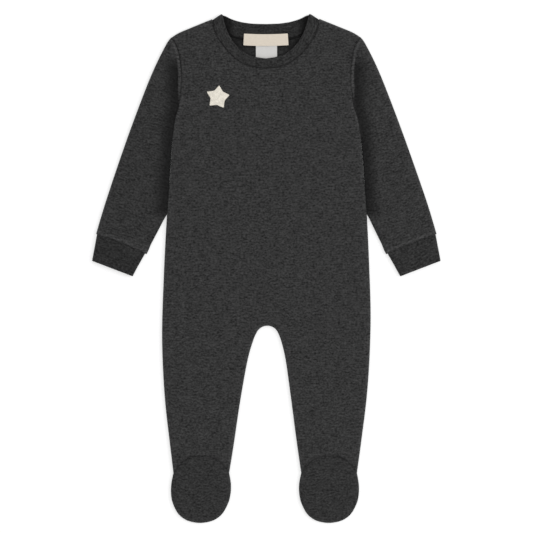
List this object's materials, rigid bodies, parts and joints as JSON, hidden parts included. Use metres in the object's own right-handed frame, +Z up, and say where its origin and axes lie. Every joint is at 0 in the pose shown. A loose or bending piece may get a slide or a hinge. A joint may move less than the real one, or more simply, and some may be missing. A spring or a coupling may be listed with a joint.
{
  "type": "footed baby sleepsuit",
  "caption": "Long-sleeved footed baby sleepsuit in charcoal heather knit, laid flat with its front up, with a round neckband, cuffs and a cream star on the chest.",
  "frame": {"origin": "on the surface that the suit lies on, under the middle of its bounding box", "axes": "+Y from the feet to the neck, +Z up, out of the front, and +X to the right of a viewer who looks down with the neck at the top"},
  "size_m": [0.4352, 0.6341, 0.0077],
  "materials": {
    "charcoal_knit": "heather melange knit with a soft matt face",
    "charcoal_trim_knit": "the same heather knit, a little darker, on the neckband, cuffs and feet",
    "cream_applique": "cream knit with a stitched edge",
    "woven_label": "bare woven ribbon",
    "satin_label": "bare satin ribbon"
  },
  "bodies": {
    "root": {"front": "charcoal_knit", "back": "charcoal_knit", "sleeve_right": "charcoal_knit", "sleeve_left": "charcoal_knit", "cuff_right": "charcoal_trim_knit", "cuff_left": "charcoal_trim_knit", "foot_upper_right": "charcoal_trim_knit", "foot_upper_left": "charcoal_trim_knit", "sole_right": "charcoal_trim_knit", "sole_left": "charcoal_trim_knit", "neckband": "charcoal_trim_knit", "star": "cream_applique", "neck_label": "woven_label", "care_label": "satin_label"}
  },
  "joints": []
}
